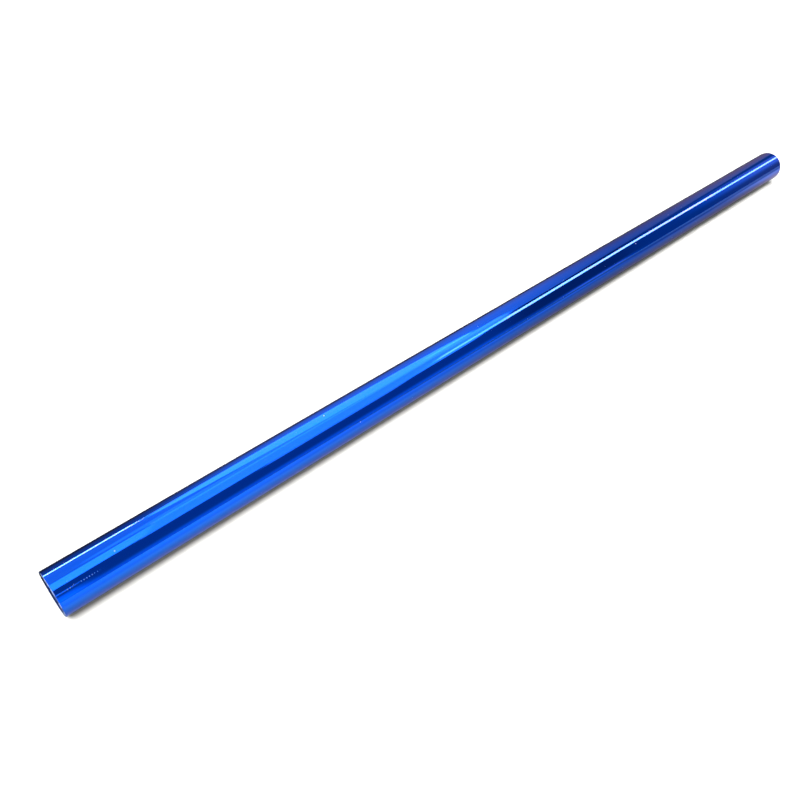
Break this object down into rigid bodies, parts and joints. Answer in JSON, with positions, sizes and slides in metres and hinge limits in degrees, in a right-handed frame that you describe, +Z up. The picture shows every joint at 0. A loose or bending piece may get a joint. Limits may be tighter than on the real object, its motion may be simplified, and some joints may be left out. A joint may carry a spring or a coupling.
{
  "type": "sway bar",
  "caption": "Straight tubular sway bar: a blue anodised aluminium torsion tube with a splined drive insert and snap ring set inside each open end.",
  "frame": {"origin": "on the bar's axis at mid-length", "axes": "+X along the bar towards its right end, +Z up with the snap rings' gaps at the top, +Y away from a viewer in front of the bar"},
  "size_m": [0.8636, 0.0316, 0.0316],
  "materials": {
    "blue_anodised_aluminium": "polished, clear blue anodised, mirror-like",
    "turned_steel": "turned and oiled, fine lathe marks",
    "phosphated_spring_steel": "black phosphate, satin",
    "black_rubber": "matt nitrile rubber"
  },
  "bodies": {
    "root": {"torsion_tube": "blue_anodised_aluminium", "left_retaining_ring": "phosphated_spring_steel", "left_drive_insert": "turned_steel", "left_seal_ring": "black_rubber", "right_retaining_ring": "phosphated_spring_steel", "right_drive_insert": "turned_steel", "right_seal_ring": "black_rubber"}
  },
  "joints": []
}
